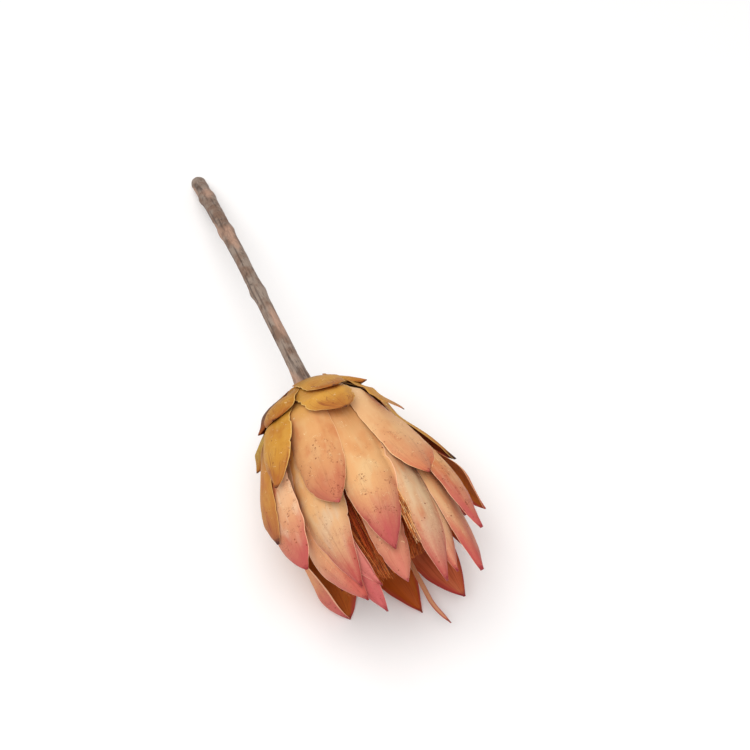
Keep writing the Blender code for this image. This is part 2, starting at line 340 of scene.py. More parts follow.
# the same bracts as in the solids, with what each changes: turn is in degrees around the axis from
# the top, reach is how many mm above the base its tip gets, and width is in mm
bracts = {
    "scale_basal": (
        dict(turn=8, reach=14.9, width=15, nicks=9, bulge=(1, 0.5, 0.5), base=0.8, taper=3.2,
             press=(0.4, 0.4), hug=0.2),
        # this scale is dark brown all over: painted shade, where the left side of the head lies in deep
        # shadow
        dict(turn=-80, reach=12, width=13, bulge=(2.4, 0.4, 0.32),
             look=dict(foot=(74, 44, 24), body=(96, 58, 32), warm=(112, 66, 34), cream=(128, 84, 46),
                       rim=(158, 112, 66))),
        dict(turn=60, reach=10.5, width=12, hug=1.5),
        dict(turn=138, reach=14, width=14),
        dict(turn=-138, reach=14, width=14),
    ),
    "scale_outer": (
        dict(turn=3, reach=23.8, width=18, lean=5, nicks=14, base=0.85, sides=(1.1, 0.88), taper=3.2,
             press=(0.4, 0.4), hug=0.2,
             look=dict(foot=(186, 134, 48), body=(212, 154, 66), warm=(192, 122, 50))),
        dict(turn=53, reach=30, width=12, flare=3.5, lean=-10, sides=(0.46, 0.6), press=(0, 0), hug=0,
             bulge=(-2.2, 0.5, 0.35)),
        dict(turn=104, reach=24, width=15),
        dict(turn=154, reach=23, width=15),
        dict(turn=-152, reach=23, width=15),
        dict(turn=-100, reach=20.5, width=13, flare=1.6, roll=-2.5, bulge=(1.2, 0.5, 0.3), sides=(1.2, 1.4),
             look=dict(foot=(150, 124, 34), body=(178, 142, 48), warm=(170, 118, 36))),
        dict(turn=-45, reach=14.9, width=18, flare=0.6, sides=(1.08, 0.9), taper=3.8,
             bulge=(3.6, 0.55, 0.38),
             look=dict(foot=(160, 108, 32), body=(186, 128, 46), warm=(168, 98, 34))),
    ),
    "scale_inner": (
        dict(turn=-56, reach=36, width=12.5, flare=2, lean=-3, base=(0, 0.55), sides=(1.3, 1.5), hook=0.8,
             bulge=(2.3, 0.5, 0.35)),
        # its near-black foot is painted shade, the deep gap between the outer scales
        dict(turn=-92, reach=51.5, width=13.5, flare=2, lean=21, roll=-3.2, sides=(1, 0.85),
             bulge=(1.6, 0.5, 0.3), press=(0.3, 0.6),
             look=dict(foot=(58, 32, 16), footTo=0.42, body=(196, 132, 58), warm=(180, 104, 52),
                       blush=(150, 78, 56), blushFrom=0.5, point=(70, 44, 40), pointFrom=0.92)),
        dict(turn=-134, reach=36, width=14),
        dict(turn=-176, reach=38, width=14),
        dict(turn=142, reach=40, width=14),
        # its near-black foot, inner face and tip are painted shade, the deep gap under the outer scale beside
        # it
        dict(turn=98, reach=43, width=12, flare=4.5, lean=-6, base=(3.3, 0.55), bulge=(1.4, 0.75, 0.2),
             look=dict(foot=(60, 34, 18), footTo=0.45, within=(110, 46, 20), withinDark=(60, 26, 14),
                       withinLight=(128, 62, 28), point=(34, 20, 18), pointFrom=0.84)),
    ),
    "bract_short": (
        dict(turn=-18, reach=53, width=15.5, flare=1.5, lean=-4, sides=(1.6, 0.84), taper=2.5,
             look=dict(foot=(208, 152, 74), body=(224, 164, 106), warm=(208, 132, 80), blush=(186, 98, 78),
                       blushFrom=0.36, blushTo=1.2, point=(186, 88, 84))),
        dict(turn=40, reach=53.5, width=17.5, flare=2, lean=-4, base=(0.8, -0.6), taper=3.6,
             sides=(0.85, 1.25),
             look=dict(foot=(232, 188, 140), body=(228, 178, 126), warm=(218, 156, 104))),
        dict(turn=92, reach=62.5, width=14, flare=5, free=0.5, widest=0.78, sides=(1.35, 1), taper=1.9,
             curl=(0, 0.2), press=(0.3, 0.3), bulge=(3, 0.76, 0.14),
             look=dict(within=(198, 112, 44), withinDark=(172, 88, 30))),
        dict(turn=131, reach=50, width=13.5),
        dict(turn=169, reach=50, width=13.5),
        dict(turn=-154, reach=48, width=13.5),
        dict(turn=-116, reach=40, width=13.5, flare=1),
        dict(turn=-76, reach=37, width=14, flare=0.5),
    ),
    "bract_mid": (
        # its ochre foot is partly its own colour and partly painted shade under the bracts that overlap it
        dict(turn=2, reach=74, width=17, flare=1.5, lean=-7, sides=(1, 1.3), taper=1.8,
             look=dict(foot=(182, 118, 46), footTo=0.4, body=(226, 170, 114), warm=(216, 148, 92))),
        # its pale cream foot is partly its own colour and partly painted light, lifting the shade under the
        # scale above it
        dict(turn=-77, reach=65, width=18.5, flare=3.6, lean=20, roll=-3.5, sides=(1.5, 0.74),
             curl=(1.4, 0.25), bulge=(1.8, 0.5, 0.35), press=(0, 1), hug=0,
             look=dict(foot=(246, 212, 172), footTo=0.7, body=(224, 164, 116), cream=(240, 212, 174),
                       blush=(184, 86, 80))),
        # its near-black foot is painted shade, the dark gap under the scale that stands out above it
        dict(turn=52.5, reach=75.4, width=16.5, flare=4.8, lean=-3, roll=3.2, sides=(0.5, 1.5),
             bulge=(2.2, 0.5, 0.35), press=(0.5, 1), look=dict(foot=(64, 34, 18), footTo=0.42)),
        dict(turn=98, reach=60, width=15, flare=2.5),
        dict(turn=138, reach=66, width=15),
        dict(turn=177, reach=64, width=14, flare=0.5),
        dict(turn=-138, reach=70, width=18.5, flare=4.2, lean=-16, sides=(0.72, 1.75), curl=(0.4, 2.4),
             curlFrom=0.55, base=0.22, widest=0.87, taper=1.5, press=(0, 0),
             look=dict(within=(194, 98, 34), withinLight=(206, 118, 46), withinDark=(166, 76, 26),
                       blush=(198, 100, 94), blushFrom=0.68, blushTo=1.02)),
        dict(turn=-106, reach=41, width=8.5, flare=0.5),
    ),
    "bract_long": (
        # its bright orange foot is painted light: warm bounce light in the shade under the bract above
        dict(turn=-38, reach=78.5, width=16, flare=1.5, lean=5, sides=(1.6, 0.9), widest=0.5, taper=1.5,
             look=dict(foot=(244, 174, 88), footTo=0.8)),
        dict(turn=29, reach=88.5, width=11.5, flare=2, lean=-14, sides=(0.7, 1.55), widest=0.6, taper=2.2,
             look=dict(body=(214, 178, 138))),
        # its deep ochre foot is partly its own colour and partly painted shade under the bract above
        dict(turn=52.5, reach=87.5, width=11.5, flare=2, lean=-9, sides=(0.55, 2.2), taper=2,
             press=(1, 0.2), nicks=1, look=dict(foot=(206, 130, 44), footTo=0.75)),
        dict(turn=80, reach=64, width=14, flare=1),
        dict(turn=124, reach=80.5, width=14, flare=3, lean=11, sides=(1.05, 2.1), taper=2.6, curl=(0.5, 1),
             press=(0, 0), nicks=0,
             look=dict(within=(206, 104, 66), withinLight=(210, 124, 84), rim=(112, 44, 52))),
        dict(turn=173, reach=77.5, width=16.5, flare=3, lean=-8, sides=(1, 1.5), taper=2),
        dict(turn=-150, reach=62, width=14, flare=0.5),
        dict(turn=-113, reach=52, width=13, flare=-1),
        dict(turn=-76, reach=52, width=13, flare=-1),
    ),
    "bract_inner": (
        dict(turn=-50, reach=82.5, width=15, lean=15, widest=0.62, taper=1.6, sides=(2.3, 0.6), nicks=0,
             look=dict(body=(226, 166, 118), blushFrom=0.62)),
        dict(turn=0, reach=83.5, width=13, lean=-6, sides=(0.9, 0.95), widest=0.72, taper=2.2,
             look=dict(body=(214, 148, 112), warm=(206, 130, 94), blush=(196, 104, 92), blushFrom=0.66,
                       blushTo=1.1, point=(170, 70, 76), pointFrom=0.98)),
        dict(turn=34, reach=85.5, width=11, lean=-5, sides=(1, 2.6),
             look=dict(body=(222, 176, 132), blushFrom=0.68, blushTo=1.1)),
        dict(turn=66, reach=74, width=12),
        dict(turn=100, reach=74, width=13),
        dict(turn=140, reach=64, width=14),
        dict(turn=-178, reach=60, width=14),
        dict(turn=-138, reach=58, width=13, flare=-1),
        dict(turn=-98, reach=52, width=13, flare=-2),
    ),
    "bract_strap": (
        dict(turn=-52, reach=87.9, width=9, lean=24, widest=0.75, taper=2, nicks=1,
             look=dict(body=(206, 126, 104), warm=(200, 110, 92), blush=(188, 88, 88))),
        dict(turn=-43, reach=80.3, width=6.5, flare=1, lean=20, widest=0.75, taper=1.9, sides=(1.7, 0.15),
             nicks=1, look=dict(body=(228, 158, 130), warm=(220, 140, 112), blush=(206, 114, 106))),
        dict(turn=60, reach=74, width=8),
        dict(turn=155.5, reach=86.5, width=1.7, flare=2, lean=-1, hook=-4, hookFrom=0.85, base=0.25,
             widest=0.9, taper=3, press=(0, 0), curl=(0.9, 0.9),
             look=dict(body=(222, 162, 126), blush=(196, 112, 96), blushFrom=0.75, within=(222, 160, 118),
                       withinLight=(228, 172, 132), withinDark=(200, 120, 90), withinTip=(184, 74, 84))),
    ),
}


def outline(row, along, left):
    # half-width as a share of the widest half-width; base may be a pair, for the left and the right
    base = np.where(left, *np.broadcast_to(row["base"], 2))
    rising = base + (1 - base) * np.sin(math.pi / 2 * np.minimum(along / row["widest"], 1))
    past = np.maximum(along - row["widest"], 0) / (1 - row["widest"])
    return np.where(along < row["widest"], rising, 1 - past ** row["taper"])


def margin(chance, along, nicks):
    # small unevenness of one edge, with a few nicks
    edge = 1 + 0.014 * waves(chance, 5, along * 34) + 0.035 * waves(chance, 3, along * 10)
    for _ in range(nicks):
        place, depth = chance.uniform(0.3, 0.97), chance.uniform(0.02, 0.09)
        width = chance.uniform(0.006, 0.02)
        edge = edge - depth * np.exp(-((along - place) / width) ** 2)
    return edge


def rolled(across, half, amount, start=0.45):
    # how far a point of a sheet lies from its middle line, and how far it has lifted,
    # when the margin beyond start rolls in along an arc of this many radians
    beyond = np.clip((np.abs(across) - start) / (1 - start), 0, 1)
    amount = np.maximum(np.abs(amount), 0.001)
    arc = (1 - start) * half / amount
    reach = np.minimum(np.abs(across), start) * half + arc * np.sin(amount * beyond)
    return np.sign(across) * reach, arc * (1 - np.cos(amount * beyond))


# what a new bract lies on: the outermost radius so far, by height and turn around the axis
bed = {
    "height": 0.5, "turn": 0.5,  # mm and degrees of a cell
    "top": 110,    # mm above the base
    "under": 0.8,  # mm that it starts below the innermost bracts
    "gap": 0.28,   # mm between the sheets' middles
}


def emptyBed():
    heights = np.arange(0, bed["top"], bed["height"])
    radius = smoothCurve(head["innerForm"], heights) - bed["under"]
    return np.repeat(radius[:, None], int(360 / bed["turn"]), axis=1)


def bedCells(height, turn):
    i = np.clip(np.rint(height / bed["height"]).astype(int), 0, int(bed["top"] / bed["height"]) - 1)
    return i, np.rint(np.degrees(turn) / bed["turn"]).astype(int) % int(360 / bed["turn"])


def evened(values, passes):
    # each point moves halfway to its neighbours' mean, both ways
    for _ in range(passes):
        for axis in (0, 1):
            wide = np.pad(values, [(1, 1) if axis == k else (0, 0) for k in (0, 1)], mode="edge")
            low, high = (np.take(wide, range(start, start + values.shape[axis]), axis) for start in (0, 2))
            values = values / 2 + (low + high) / 4
    return values


def laidDown(surface, radius, height, turn, pull, reach):
    # the margins come down on what lies below, and no part sinks into it
    below = surface[bedCells(height, turn)]
    for _ in range(2):
        below = np.maximum(below, evened(below, 2))
    resting = evened(below, 3) + bed["gap"]
    return np.maximum(radius - pull * np.clip(radius - resting, 0, reach), resting)


def addToBed(surface, radius, height, turn):
    # the sheet's points, with three more between each two, raise the surface
    fine = []
    for values in (radius, height, turn):
        for axis in (0, 1):
            at = np.linspace(0, values.shape[axis] - 1, values.shape[axis] * 4)
            first = np.minimum(at.astype(int), values.shape[axis] - 2)
            share = (at - first).reshape((-1, 1) if axis == 0 else (1, -1))
            values = np.take(values, first, axis) * (1 - share) + np.take(values, first + 1, axis) * share
        fine.append(values)
    np.maximum.at(surface, bedCells(fine[1], fine[2]), fine[0])


def bractSheet(row, bract, seed, surface):
    # middle surface and thickness of a bract in the head's frame, mm
    row = {**plain, **row, **bract}
    chance = np.random.default_rng(seed)
    foot = head["topSeat"] - row["rank"] * head["seatStep"]
    length = row["reach"] - foot
    steps = max(int(length / common["cell"]), 16)
    cells = common["cells"] if row["width"] > 7 else common["cells"] // 2
    s = np.linspace(0, 1, steps + 1)
    t = np.linspace(-1, 1, cells + 1)
    along, across = np.meshgrid(1 - (1 - s) ** 1.15, np.sin(t * math.pi / 2), indexing="ij")
    # its outline, with the margins rolled in
    left = across < 0
    margins = [margin(chance, along, row["nicks"]) for _ in range(2)]
    shape = outline(row, along, left) * np.where(left, *margins) * np.where(left, *row["sides"])
    half = np.maximum(row["width"] / 2 * shape, common["tip"])
    grown = ease(along, 0.05, 0.35)
    curl = np.where(left, *row["curl"]) * ease(along, row["curlFrom"], row["curlFrom"] + 0.45)
    offset, lift = rolled(across, half, curl)
    offset = offset + row["hook"] * ease(along, row["hookFrom"], 1.1)
    height = foot + length * along
    # how far it stands from the axis: on the head's form, swollen, and free towards the tip
    freed = np.maximum((along - row["free"]) / (1 - row["free"]), 0)
    climbed = np.clip((height - foot) / head["seatStep"], 0, row["rank"])
    radius = smoothCurve(head["innerForm"], height) + head["sheet"] / 2 + head["rowPitch"] * climbed
    amount, place, spread = row["bulge"]
    radius = radius + row["flare"] * freed ** 1.6 + amount * np.exp(-((along - place) / spread) ** 2) * grown
    turn = np.radians(row["turn"] + row["lean"] * along ** 1.5) + offset / radius
    # its margins, and the warps, ribs, creases and frills of drying
    radius = radius + row["roll"] * freed * offset / (row["width"] / 2)
    radius = radius - lift - row["hug"] * across ** 2 * grown
    radius = radius + common["bow"] * freed * waves(chance, 4, across * 0.9, along * 4)
    radius = radius + common["ribs"] * grown * waves(chance, 4, across * 14, along * 1.5)
    for _ in range(common["creases"]):
        fold, depth = chance.uniform(-0.7, 0.7), common["crease"] * chance.uniform(-1, 1)
        bend = np.exp(-((across - fold - 0.1 * along) / common["creaseWidth"]) ** 2)
        radius = radius + depth * grown * bend
    radius = radius + common["frill"] * np.abs(across) ** 5 * grown * waves(chance, 5, across, along * 28)
    # it rests on the bracts below, and the next ones rest on it
    if any(row["press"]):
        fullness = np.minimum(half / (row["width"] / 2), 1) ** 0.5
        pull = grown * across ** 2 * fullness * np.where(left, *row["press"])
        radius = laidDown(surface, radius, height, turn, pull, common["pull"])
    addToBed(surface, radius, height, turn)
    middle = around(radius, turn, height)
    thick, thin = common["thickness"]
    thickness = (thick + (thin - thick) * ease(along, 0.1, 0.6)) * (0.35 + 0.65 * (1 - np.abs(across) ** 6))
    return middle, thickness, along, across


def addBract(kind, number, seed, surface):
    row, bract = kinds[kind], bracts[kind][number - 1]
    middle, thickness, along, across = bractSheet(row, bract, seed, surface)
    rise, side = np.gradient(middle, axis=0), np.gradient(middle, axis=1)
    outward = np.cross(rise, side)
    outward /= np.linalg.norm(outward, axis=-1, keepdims=True)
    half = outward * thickness[..., None] / 2
    points = np.concatenate((middle + half, middle - half))
    marks = {
        "along": np.concatenate((along, along)), "across": np.concatenate((across, across)),
        "inside": np.concatenate((along * 0, along * 0 + 1)),
    }
    look = {**common, **looks[row["look"]], **bract.get("look", {})}
    node = f"{kind}_{number}"
    material = bractFinish(f"{node}_finish", look, seed)
    makePiece(f"{node}_leaf", placed(points), sheetFaces(*along.shape), marks, material, [node])


def bractFinish(name, look, seed):
    paint = Paint(name, gloss=0.18)
    along, across, inside = (paint.mark(key) for key in ("along", "across", "inside"))
    edge = abs(across)
    place = paint.place(seed)
    fibres = paint.noise(paint.spot(across * 11, along * 1.3, seed * 3.7), 1.0, 3.0, 0.6)
    fine = paint.noise(paint.spot(across * 34, along * 4, seed * 1.9), 1.0, 2.0, 0.6)
    cloud = paint.noise(paint.spot(across * 1.2, along * 4, seed * 7.3), 1.0, 3.0, 0.55)
    patch = paint.noise(paint.spot(across * 2.4, along * 6, seed * 5.1), 1.0, 2.0, 0.5)
    grainy = paint.noise(place, 1.6, 3.0, 0.6)

    # the foot colour fades into the body: partly the bract's own ochre base, partly painted shade where the
    # outer bracts cover the foot
    grown = paint.fade(along + (cloud - 0.5) * 0.3, 0.05, look["footTo"])
    colour = paint.mix(grown, look["foot"], look["body"])
    colour = paint.mix(paint.fade(cloud, 0.46, 0.7) * 0.75, colour, look["warm"])
    light = paint.fade(patch, 0.5, 0.72) * paint.fade(along, 0.1, 0.4)
    colour = paint.mix(light * 0.6, colour, look["cream"])
    colour = paint.mix(paint.fade(fibres, 0.5, 0.75) * 0.16, colour, look["warm"])
    colour = paint.mix(paint.fade(fine, 0.54, 0.75) * 0.14, colour, look["cream"])

    # the rose comes in unevenly, further down along the margins
    tide = along + edge ** 3 * 0.08 + (cloud - 0.5) * 0.25 + (fibres - 0.5) * 0.05 + (grainy - 0.5) * 0.1
    rose = paint.fade(tide, look["blushFrom"], look["blushTo"])
    colour = paint.mix(rose, colour, look["blush"])
    tip = paint.fade(along + (grainy - 0.5) * 0.06, look["pointFrom"], 1.0)
    colour = paint.mix(tip, colour, look["point"])

    # specks gather where the rose begins: round dots, and grit in clusters
    zone = paint.fade(along + (patch - 0.5) * 0.9, 0.3, 0.7) * look["speckle"]
    specks = paint.dots(place, 0.8, 0.3, zone * 0.3)
    grit = paint.noise(place, 1.7, 2.0, 0.75, 1.2)
    crowd = paint.fade(paint.noise(place, 0.22, 1.0, 0.5, 1.0), 0.5, 0.63)
    grit = paint.fade(grit, 0.56, 0.64) * crowd * zone
    colour = paint.mix(specks * 0.75, colour, look["speck"])
    colour = paint.mix(grit * 0.9, colour, look["speck"])

    # short pale curved scratches, pieces of a noise's contour lines
    wander = paint.noise(place, 0.75, 0.0, 0.5, 0.8)
    chosen = paint.fade(paint.noise(place, 0.6, 0.0, 0.5), 0.64, 0.69) * paint.fade(rose, 0.7, 0.3)
    scratches = paint.fade(abs(wander - 0.5), 0.025, 0.008) * chosen
    colour = paint.mix(scratches * 0.6, colour, look["scratch"])

    # short dark splits that run down to the margin
    splits = paint.noise(paint.spot(across * 5, along * 1.2, seed * 2.3), 1.0, 1.0, 0.5, 0.6)
    splits = paint.fade(abs(splits - 0.5), 0.02, 0.006) * paint.fade(along + (patch - 0.5) * 0.5, 0.6, 0.75)
    colour = paint.mix(splits * look["splits"], colour, look["speck"])

    # thin pale rim: partly the bracts' own pale margin, partly a painted highlight along the lit edges
    rim = paint.fade(edge + (grainy - 0.5) * 0.04, 0.955, 0.98) * paint.fade(along, 0.08, 0.2)
    colour = paint.mix(rim * 0.75, colour, look["rim"])

    within = paint.mix(paint.fade(fibres, 0.42, 0.7) * 0.6, look["within"], look["withinDark"])
    within = paint.mix(paint.fade(cloud, 0.42, 0.7) * 0.7, within, look["withinLight"])
    rosy = paint.fade(edge * 0.35 + along * 0.75 + (patch - 0.5) * 0.15, 0.86, 1.02)
    within = paint.mix(rosy * 0.85, within, look["withinTip"])
    within = paint.mix(paint.fade(along, look["pointFrom"], 1.0), within, look["point"])
    colour = paint.mix(inside, colour, within)

    roughness = 0.58 + (patch - 0.5) * 0.25 + (grainy - 0.5) * 0.15 - inside * 0.08
    height = fibres * 0.4 + fine * 0.25 + grainy * 0.35 - grit * 0.5 - scratches * 0.4
    return paint.finish(colour, roughness, height, 0.5)


def dressHead():
    # from the innermost row out, so that each bract lies on those below it
    surface = emptyBed()
    seeds = {}
    for kind in kinds:
        for number in range(1, len(bracts[kind]) + 1):
            seeds[kind, number] = len(seeds) + 1
    for kind, number in sorted(seeds, key=lambda key: kinds[key[0]]["rank"]):
        addBract(kind, number, seeds[kind, number], surface)
    print("bracts made:", len(seeds))


dressHead()

cone = {
    "rings": 70, "steps": 120,  # along and around
    "relief": 0.14,  # mm of woody unevenness
    "colour": (116, 72, 42), "dark": (62, 36, 22), "pale": (158, 108, 66),
}


def woodFinish(name, shades, seed):
    paint = Paint(name)
    place = paint.place(seed)
    cloud = paint.noise(place, 0.35, 4.0, 0.6)
    grain = paint.noise(place, 2.2, 4.0, 0.65)
    colour = paint.mix(paint.fade(cloud, 0.35, 0.65), shades["dark"], shades["colour"])
    colour = paint.mix(paint.fade(grain, 0.5, 0.75) * 0.6, colour, shades["pale"])
    return paint.finish(colour, 0.75 + (grain - 0.5) * 0.2, grain + cloud, 0.7)


def addReceptacle():
    chance = np.random.default_rng(301)
    flank = [(h, smoothCurve(head["innerForm"], h) - head["clearance"]) for h in head["flank"]]
    profile = np.array([(h, r) for h, r in flank[::-1]] + list(head["dome"]), float)
    walk = np.concatenate(([0], np.cumsum(np.hypot(*np.diff(profile, axis=0).T))))
    even = np.linspace(0, walk[-1], cone["rings"])
    height, radius = (np.interp(even, walk, profile[:, k]) for k in (0, 1))
    turn = np.linspace(0, 2 * math.pi, cone["steps"], endpoint=False)
    height, turn = np.meshgrid(height, turn, indexing="ij")
    radius = radius[:, None] - cone["relief"] * (1 + waves(chance, 7, turn * 9, height * 1.6)) / 2
    radius = np.maximum(radius, 0.05)
    makePiece("receptacle_cone", placed(around(radius, turn, height)), tubeFaces(*height.shape), {},
              woodFinish("receptacle_finish", cone, 61), ["receptacle"])
    print("receptacle made")


addReceptacle()

tuft = {
    # the dark middle behind the strands: height above the base, radius
    "core": ((19, 11.0), (27, 12.0), (38, 12.5), (50, 12.0), (60, 9.6), (66, 6.0), (69, 2.0), (69.5, 0.1)),
    "coreRings": 80, "coreSteps": 140,
    "coreRelief": 0.12,  # share of the radius
    "bundles": 130,
    "seat": (3, 12.5),   # mm from the axis that the strands grow at
    "belly": (6, 20.5),  # mm from the axis that they swell to
    "reach": (50, 70),   # mm above the base that they end at
    "longer": 5,         # mm that those on top reach further
    "sunk": 0.8,         # mm that their feet go into the receptacle
    "closing": 0.25,     # share of the belly that they come back in by, at the top
    "bend": 1.0,         # mm of wandering
    # count is for each bundle, width is in mm at the foot and at the tip
    "styles": dict(count=8, steps=12, sides=5, width=(0.5, 0.26), seed=303, look="tuft"),
    "hairs": dict(count=13, steps=10, sides=3, width=(0.22, 0.1), seed=304, look="tuft"),
}

strandLooks = {
    "core": dict(dark=(40, 16, 8), colour=(86, 38, 18), pale=(128, 66, 30)),
    "tuft": dict(dark=(138, 42, 10), rust=(194, 84, 30), straw=(214, 130, 64), pale=(222, 150, 84)),
    "straw": dict(dark=(130, 52, 14), rust=(184, 104, 46), straw=(244, 188, 126), pale=(250, 214, 164)),
}

# loose straws that show where two bracts part
straws = {
    "count": 44, "steps": 16, "sides": 6, "width": (0.5, 0.2), "seed": 306, "look": "straw",
    "turn": (13.4, 11.4), "spread": 3.0,  # degrees around the axis, where they start and end
    "radius": (25.4, 27.7),  # mm from the axis
    "start": (51, 57), "end": (60, 74),  # mm above the base
}


def strandPaths(strand):
    # middle lines of the strands, in the head's frame; each bundle shares one way
    chance = np.random.default_rng(strand["seed"])
    share = np.linspace(0, 1, strand["steps"] + 1)[None, :]
    bundles, count = tuft["bundles"], strand["count"]
    many = bundles * count

    def shared(values, stray):
        return np.repeat(values, count, axis=0) + chance.normal(0, stray, (many, 1))

    turn = shared(chance.uniform(0, 2 * math.pi, (bundles, 1)), 0.05)
    depth = np.clip(shared(np.sqrt(chance.uniform(0, 1, (bundles, 1))), 0.05), 0, 1)
    tone = np.clip(shared(chance.uniform(0.15, 0.85, (bundles, 1)), 0.15), 0, 1)
    drift = shared(chance.normal(0, 0.07, (bundles, 1)), 0.03)
    seat = tuft["seat"][0] + (tuft["seat"][1] - tuft["seat"][0]) * depth
    belly = tuft["belly"][0] + (tuft["belly"][1] - tuft["belly"][0]) * depth
    reach = tuft["reach"][1] - (tuft["reach"][1] - tuft["reach"][0]) * chance.uniform(0, 1, (many, 1)) ** 1.5
    reach = reach + tuft["longer"] * np.cos(turn + 0.5)
    foot = -smoothCurve(tuple(sorted((r, -h) for h, r in head["dome"])), seat) - tuft["sunk"]
    radius = seat + (belly - seat) * ease(share, 0, 0.5) - belly * tuft["closing"] * ease(share, 0.6, 1.05)
    turn = turn + drift * share
    height = foot + (reach - foot) * share

    def sway():
        pace, start = (shared(chance.uniform(low, 6, (bundles, 1)), 0.6) for low in (2, 0))
        return tuft["bend"] * share * np.sin(share * pace + start)

    x, y = radius * np.sin(turn) + sway(), radius * np.cos(turn) + sway()
    return np.stack((x, y, height), -1), depth, tone


def strawPaths():
    chance = np.random.default_rng(straws["seed"])
    share = np.linspace(0, 1, straws["steps"] + 1)[None, :]
    count = straws["count"]
    place = chance.uniform(-1, 1, (count, 1))
    first, last = straws["turn"]
    turn = first + (last - first) * share + place * straws["spread"]
    turn = turn + chance.normal(0, 0.8, (count, 1)) * share
    start, end = (chance.uniform(*straws[key], (count, 1)) for key in ("start", "end"))
    height = start * (1 - share) + end * share
    # a straw's tone is partly its own colour and partly painted light: the darker ones lie deeper, as painted
    # shade behind, and the palest stand for lit strands
    tone = chance.uniform(0.1, 1.05, (count, 1))
    radius = straws["radius"][0] + (straws["radius"][1] - straws["radius"][0]) * share + 0.5 * tone - 0.4
    radius = radius + 0.25 * np.sin(share * chance.uniform(2, 5, (count, 1)))
    return around(radius, np.radians(turn), height), place * 0, tone


def addStrands(name, strand, paths):
    path, depth, tone = paths
    widths, sides, seed = strand["width"], strand["sides"], strand["seed"]
    chance = np.random.default_rng(seed + 50)
    count, steps = len(path), path.shape[1] - 1
    ahead = np.gradient(path, axis=1)
    ahead /= np.linalg.norm(ahead, axis=-1, keepdims=True)
    first = np.cross(ahead, (0.3, 1.0, 0.1))
    first /= np.linalg.norm(first, axis=-1, keepdims=True)
    second = np.cross(ahead, first)
    share = np.linspace(0, 1, steps + 1)
    thick = (widths[0] + (widths[1] - widths[0]) * share)[None, :, None] / 2
    thick = thick * chance.uniform(0.7, 1.3, (count, 1, 1))
    corner = np.linspace(0, 2 * math.pi, sides, endpoint=False)
    ring = path[:, :, None] + thick[..., None] * (
        first[:, :, None] * np.cos(corner)[:, None] + second[:, :, None] * np.sin(corner)[:, None])
    perStrand = (steps + 1) * sides
    tube = np.array(gridFaces(steps + 1, sides, closed=True, flip=True))
    starts = np.arange(count)[:, None] * perStrand
    faces = (tube[None] + starts[..., None]).reshape(-1, 4).tolist()
    end = np.arange(sides)[None]
    faces += (end + starts).tolist() + (end[:, ::-1] + perStrand - sides + starts).tolist()
    size = (count, steps + 1, sides)
    marks = {
        "tone": np.broadcast_to(tone[..., None], size), "outer": np.broadcast_to(depth[..., None], size),
        "along": np.broadcast_to(share[None, :, None], size),
    }
    material = strandFinish(f"{name}_finish", seed, strandLooks[strand["look"]])
    makePiece(name, placed(ring), faces, marks, material, ["florets"], sharp=80)


def strandFinish(name, seed, look):
    paint = Paint(name, gloss=0.12)
    tone, along, outer = (paint.mark(key) for key in ("tone", "along", "outer"))
    place = paint.place(seed)
    grain = paint.noise(place, 0.9, 3.0, 0.6)
    # the outer strands come out a little lighter: painted shade on the deeper ones
    shade = tone * 0.8 + outer * 0.1 + (grain - 0.5) * 0.5
    colour = paint.mix(paint.fade(shade, 0.12, 0.55), look["dark"], look["rust"])
    colour = paint.mix(paint.fade(shade, 0.5, 0.85), colour, look["straw"])
    colour = paint.mix(paint.fade(along + (grain - 0.5) * 0.3, 0.85, 1.05) * 0.4, colour, look["pale"])
    return paint.finish(colour, 0.6 + (grain - 0.5) * 0.2, grain, 0.3)


def addCore():
    chance = np.random.default_rng(302)
    profile = np.array(tuft["core"], float)
    height = np.linspace(profile[0, 0], profile[-1, 0], tuft["coreRings"])
    radius = smoothCurve(tuft["core"], height)
    turn = np.linspace(0, 2 * math.pi, tuft["coreSteps"], endpoint=False)
    height, turn = np.meshgrid(height, turn, indexing="ij")
    radius = radius[:, None] * (1 - tuft["coreRelief"] * (1 + waves(chance, 8, turn * 12, height * 0.12)) / 2)
    makePiece("floret_core", placed(around(radius, turn, height)), tubeFaces(*height.shape), {},
              woodFinish("core_finish", strandLooks["core"], 62), ["florets"])


def addFlorets():
    addCore()
    for key in ("styles", "hairs"):
        addStrands(f"floret_{key}", tuft[key], strandPaths(tuft[key]))
    addStrands("floret_straws", straws, strawPaths())
    print("florets made")


addFlorets()

twig = {
    "endSlope": -36.0,  # degrees below level at the cut
    "sway": 5.0,        # mm that the cut end drifts sideways
    "length": 125.0,    # mm
    "neck": 3.4, "shank": 2.5, "butt": 2.9,  # mm radius under the head, along the stem and at the cut
    "scars": (0.34, 0.63, 0.86),  # places of the swollen leaf scars
    "swell": 0.45,      # mm that a scar stands out
    "neckSpread": 0.05, "scarSpread": 0.022,  # shares of the length
    "lumps": 0.025,     # share of the radius
    "wrinkles": 0.1, "grit": 0.04, "peelDepth": 0.13,  # mm
    "cutRings": (0.92, 0.8, 0.66, 0.5, 0.34, 0.18, 0.04),  # of the cut face, as shares of its radius
    "cutDepth": 0.12,   # mm of its roughness
    "rings": 420, "sides": 52,  # along and around
    "bark": (126, 98, 80), "crack": (62, 46, 38),
    "peeled": (180, 142, 120), "grey": (150, 132, 118),
    "cut": (214, 178, 134), "pith": (142, 100, 66),
}


def stemRadius(share):
    neck = (twig["neck"] - twig["shank"]) * np.exp(-share / twig["neckSpread"])
    butt = (twig["butt"] - twig["shank"]) * share ** 2
    scars = sum(np.exp(-((share - place) / twig["scarSpread"]) ** 2) for place in twig["scars"])
    return twig["shank"] + neck + butt + twig["swell"] * scars


